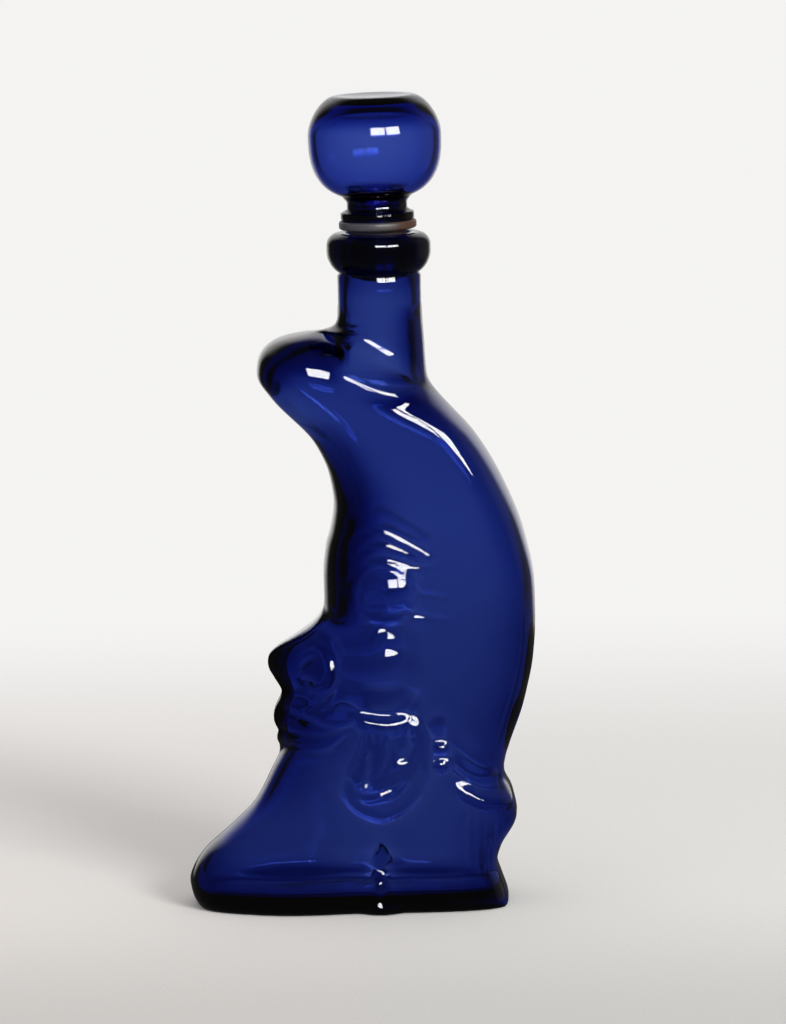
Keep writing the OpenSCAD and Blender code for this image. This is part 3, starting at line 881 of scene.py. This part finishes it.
def seal_material():
    """Aged translucent plastic: milky grey, browned where it has been touched and wetted."""
    mat, nodes, links, shader = material("seal_plastic")
    place = nodes.new("ShaderNodeTexCoord").outputs["Object"]
    stain = map_range(nodes, links, separate(nodes, links, place)["X"], 0.004, 0.022, kind="LINEAR")
    blotch = noise(nodes, links, place, 260, 4)
    colour = ramp(nodes, links, product(nodes, links, stain, blotch),
                  [(0.0, SEAL_GREY), (0.28, SEAL_BROWN), (0.55, SEAL_RUST)])
    links.new(colour, shader.inputs["Base Color"])
    shader.inputs["Roughness"].default_value = 0.42
    shader.inputs["Subsurface Weight"].default_value = 0.35
    shader.inputs["Subsurface Radius"].default_value = (SEAL_SCATTER, SEAL_SCATTER, SEAL_SCATTER)
    links.new(bump(nodes, links, blotch, SEAL_GRAIN), shader.inputs["Normal"])
    return mat


# ---------------------------------------------------------------- stage, light and camera
BACKGROUND = (0.905, 0.898, 0.888)      # pale cloth far behind the object
NEAR_CLOTH = (0.66, 0.64, 0.62)         # cloth round the object, as the glass shows it
MIRRORED_CLOTH_PAINTED_SHADE = 0.05                   # the same cloth, as the glass mirrors it, painted nearly black: painted shade in the glass's reflections
PAINTED_LIGHT_CLOTH_LEFT = (0.93, 0.885, 0.85)        # the cloth's pale colour with painted light and shade, at the left and at the right
PAINTED_LIGHT_CLOTH_RIGHT = (0.9, 0.885, 0.855)
CLOTH_FRONT_PAINTED_SHADE = 0.75                      # painted shade: the share of its colour that the cloth keeps at the front
AMBIENT = 0.63                          # light of the world on matt surfaces
ROOM = 0.045                            # dim room on the camera's side and at both sides
FLOOR_R = 14
LAMP_DISTANCE = 3.0
LAMP_AIM = 0.14                         # height of the point that each lamp faces
DAYLIGHT = 27                           # radiance of the lamp that lights matt surfaces
PANE_LIGHT = 21                         # radiance of the panes that the glass mirrors
PANES = (("pane_left", 6), ("pane_right", 34))      # their names and azimuths
CAMERA_AT = (0.01225, -2.3, 0.4615)
CAMERA_LENS = 235.7
CAMERA_DOWN = 8.04                      # degrees
CAMERA_ROLL = -1.1


def background_share(nodes, links, direction):
    """1 where the bright background lies in a direction, 0 towards the dim room."""
    axes = separate(nodes, links, direction)
    left = map_range(nodes, links, axes["X"], -0.7, -0.4)
    right = map_range(nodes, links, axes["X"], 0.4, 0.62, 1, 0.1)
    behind = map_range(nodes, links, axes["Y"], -0.1, 0.35)
    level = map_range(nodes, links, axes["Z"], 0.45, 0.8, 1, 0)
    return product(nodes, links, left, right, behind, level)


def surroundings(nodes, links, direction):
    """What glass shows in a direction: the background or the dim room."""
    share = background_share(nodes, links, direction)
    return mix_colour(nodes, links, share, grey(ROOM), BACKGROUND)


def floor_material():
    """Pale cloth that turns, behind the object, into the plain bright background.

    Glass that looks through it shows it as cloth without a shadow near the object, glass that
    mirrors it shows it there nearly black, as painted shade, and further off both show the
    background or the dim room, whichever lies in that direction.
    """
    mat, nodes, links, shader = material("pale_cloth")
    place = nodes.new("ShaderNodeNewGeometry").outputs["Position"]
    axes = separate(nodes, links, place)
    shader.inputs["Roughness"].default_value = 0.9
    shader.inputs["Specular IOR Level"].default_value = 0.1
    # painted light and shade: the cloth's colour shifts from left to right
    side = map_range(nodes, links, axes["X"], -0.14, 0.12)
    cloth = mix_colour(nodes, links, side, PAINTED_LIGHT_CLOTH_LEFT, PAINTED_LIGHT_CLOTH_RIGHT)
    # painted shade: the cloth grows darker towards the front
    front = map_range(nodes, links, axes["Y"], -0.22, 0.02, CLOTH_FRONT_PAINTED_SHADE, 1)
    thread = map_range(nodes, links, noise(nodes, links, place, 900, 2), 0.3, 0.7, 0.96, 1)
    cloth_with_painted_shade = vector_math(nodes, links, "SCALE", cloth)
    links.new(product(nodes, links, front, thread), cloth_with_painted_shade.inputs["Scale"])
    links.new(cloth_with_painted_shade.outputs["Vector"], shader.inputs["Base Color"])
    rays = nodes.new("ShaderNodeLightPath")
    camera, through = rays.outputs["Is Camera Ray"], rays.outputs["Is Transmission Ray"]
    far = vector_math(nodes, links, "LENGTH", place).outputs["Value"]
    direction = vector_math(nodes, links, "NORMALIZE", place).outputs["Vector"]
    away = map_range(nodes, links, far, 0.3, 1.0)
    # painted shade: near the object, glass mirrors the cloth nearly black
    near = mix_colour(nodes, links, through, grey(MIRRORED_CLOTH_PAINTED_SHADE), NEAR_CLOTH)
    in_glass = mix_colour(nodes, links, away, near, surroundings(nodes, links, direction))
    glow = nodes.new("ShaderNodeEmission")
    links.new(mix_colour(nodes, links, camera, in_glass, BACKGROUND), glow.inputs["Color"])
    behind = product(nodes, links, map_range(nodes, links, axes["Y"], 0.2, 0.65), camera)
    share = maximum(nodes, links, behind, through, rays.outputs["Is Glossy Ray"])
    mixed = nodes.new("ShaderNodeMixShader")
    links.new(share, mixed.inputs["Fac"])
    links.new(shader.outputs["BSDF"], mixed.inputs[1])
    links.new(glow.outputs["Emission"], mixed.inputs[2])
    links.new(mixed.outputs["Shader"], nodes["Material Output"].inputs["Surface"])
    return mat


def make_floor():
    """A round cloth, finer near its middle."""
    rings, steps = 24, 96
    points = [(0, 0, 0)]
    faces = []
    for k in range(1, rings + 1):
        r = FLOOR_R * (k / rings) ** 2
        angles = np.arange(steps) * 2 * math.pi / steps
        points += [(r * math.cos(a), r * math.sin(a), 0) for a in angles]
    for j in range(steps):
        n = (j + 1) % steps
        faces.append((0, 1 + j, 1 + n))
        for k in range(rings - 1):
            a, b = 1 + k * steps, 1 + (k + 1) * steps
            faces.append((a + j, b + j, b + n, a + n))
    mesh = bpy.data.meshes.new("cloth_floor")
    mesh.from_pydata(points, [], faces)
    mesh.shade_smooth()
    mesh.materials.append(floor_material())
    floor = add_object("cloth_floor", mesh)


def make_world():
    """Soft even light; glass sees the pale background behind the object and a dim room elsewhere."""
    world = bpy.data.worlds.new("plain_studio")
    bpy.context.scene.world = world
    world.use_nodes = True
    nodes, links = world.node_tree.nodes, world.node_tree.links
    back = nodes["Background"]
    rays = nodes.new("ShaderNodeLightPath")
    direction = nodes.new("ShaderNodeTexCoord").outputs["Generated"]
    in_glass = maximum(nodes, links, rays.outputs["Is Glossy Ray"], rays.outputs["Is Transmission Ray"])
    lit = mix_colour(nodes, links, in_glass, grey(AMBIENT), surroundings(nodes, links, direction))
    colour = mix_colour(nodes, links, rays.outputs["Is Camera Ray"], lit, BACKGROUND)
    links.new(colour, back.inputs["Color"])
    back.inputs["Strength"].default_value = 1


def pane_light(name, azimuth, elevation, width, height, radiance):
    """An even lamp that faces the object."""
    light = bpy.data.lights.new(name, "AREA")
    light.shape = "RECTANGLE"
    light.size = width
    light.size_y = height
    light.energy = radiance * math.pi * width * height
    lamp = bpy.data.objects.new(name, light)
    az, el = math.radians(azimuth), math.radians(elevation)
    lamp.location = (LAMP_DISTANCE * math.sin(az) * math.cos(el),
                     -LAMP_DISTANCE * math.cos(az) * math.cos(el),
                     LAMP_AIM + LAMP_DISTANCE * math.sin(el))
    lamp.rotation_euler = Euler((math.pi / 2 - el, 0, az))
    bpy.context.scene.collection.objects.link(lamp)
    return lamp


def make_windows():
    """Daylight from the right, and the two wide panes that the glass mirrors."""
    daylight = pane_light("daylight", 34, 25, 1.0, 0.62, DAYLIGHT)
    daylight.visible_glossy = daylight.visible_transmission = False
    for name, azimuth in PANES:
        pane = pane_light(name, azimuth, 24, 1.22, 0.95, PANE_LIGHT)
        pane.visible_diffuse = False


def make_camera():
    data = bpy.data.cameras.new("camera")
    data.lens = CAMERA_LENS
    data.sensor_width = 36
    data.clip_end = 100
    camera = bpy.data.objects.new("camera", data)
    camera.location = CAMERA_AT
    tilt = Euler((math.radians(90 - CAMERA_DOWN), 0, 0)).to_matrix()
    roll = Euler((0, 0, math.radians(CAMERA_ROLL))).to_matrix()
    camera.rotation_euler = (tilt @ roll).to_euler()
    bpy.context.scene.collection.objects.link(camera)
    bpy.context.scene.camera = camera


# ---------------------------------------------------------------- the scene
def dress(piece, body, mat):
    """Give a piece its material, and let it stand for one node of the frame."""
    piece.data.materials.append(mat)
    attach(piece, body)
    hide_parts(body)


make_camera()
make_floor()
make_world()
make_windows()

dress(lofted("moon_bottle", bottle_rings()), "bottle",
      glass("cobalt_glass", COBALT, COBALT_DENSITY, BOTTLE_WAVES))
dress(turned("ball_stopper", stopper_profile()), "stopper",
      glass("stopper_cobalt", STOPPER_BLUE, STOPPER_DENSITY, STOPPER_WAVES))
dress(turned("ribbed_seal", seal_profile(), closed=True), "seal", seal_material())

bpy.context.scene.view_settings.view_transform = "Standard"
